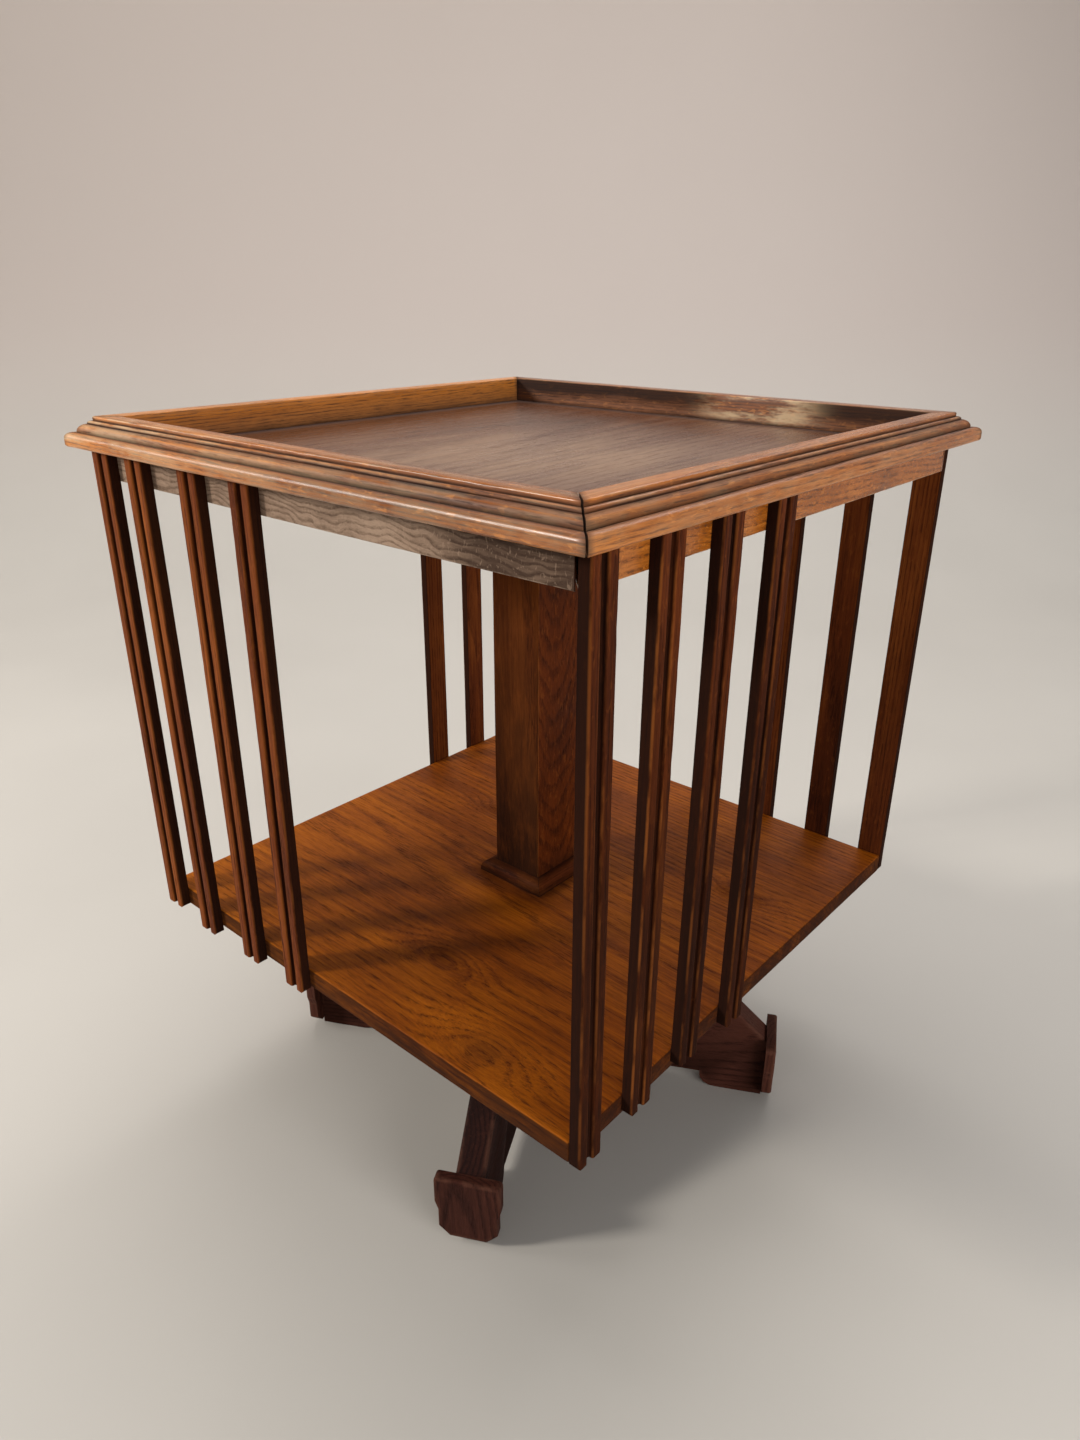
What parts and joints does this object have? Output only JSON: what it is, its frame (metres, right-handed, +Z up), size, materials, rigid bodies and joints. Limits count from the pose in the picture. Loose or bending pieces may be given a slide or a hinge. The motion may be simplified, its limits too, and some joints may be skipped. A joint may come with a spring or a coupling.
{
  "type": "revolving bookcase",
  "caption": "Table-top revolving bookcase: square slatted case with a moulded tray top, centre post and open bays, turning on a cross-shaped foot.",
  "frame": {"origin": "on the ground under the turning axis, at the bottom centre of the overall box", "axes": "+Z up along the turning axis; the case's front faces -Y and its right side +X, and the cross base is turned 28 degrees under it as in the picture"},
  "size_m": [0.3578, 0.3578, 0.4402],
  "materials": {
    "oak": "amber stain, worn semi-gloss varnish",
    "dark_oak": "dark stain, worn semi-gloss varnish",
    "steel": "oiled",
    "brass": "satin"
  },
  "bodies": {
    "base": {"cross_beam_lower": "dark_oak", "cross_beam_upper": "dark_oak", "foot_plate_front": "dark_oak", "foot_plate_right": "dark_oak", "foot_plate_back": "dark_oak", "foot_plate_left": "dark_oak", "spindle": "steel", "spindle_screws": "steel", "thrust_washer": "brass"},
    "case": {"bottom_shelf": "oak", "shelf_bush": "brass", "post_board_front": "oak", "post_board_right": "oak", "post_board_back": "oak", "post_board_left": "oak", "post_bead_front": "oak", "post_bead_right": "oak", "post_bead_back": "oak", "post_bead_left": "oak", "pivot_block": "oak", "pivot_bush": "brass", "apron_front": "oak", "apron_right": "oak", "apron_back": "oak", "apron_left": "oak", "tray_panel": "oak", "tray_moulding_front": "oak", "tray_moulding_right": "oak", "tray_moulding_back": "oak", "tray_moulding_left": "oak", "slat_front_1": "oak", "slat_front_2": "oak", "slat_front_3": "oak", "slat_front_4": "oak", "slat_right_1": "oak", "slat_right_2": "oak", "slat_right_3": "oak", "slat_right_4": "oak", "slat_back_1": "oak", "slat_back_2": "oak", "slat_back_3": "oak", "slat_back_4": "oak", "slat_left_1": "oak", "slat_left_2": "oak", "slat_left_3": "oak", "slat_brads": "steel"}
  },
  "joints": [
    {"name": "case_turn", "type": "hinge", "parent": "base", "child": "case", "pos_m": [0, 0, 0.14], "axis": [0, 0, 1], "continuous": true}
  ]
}
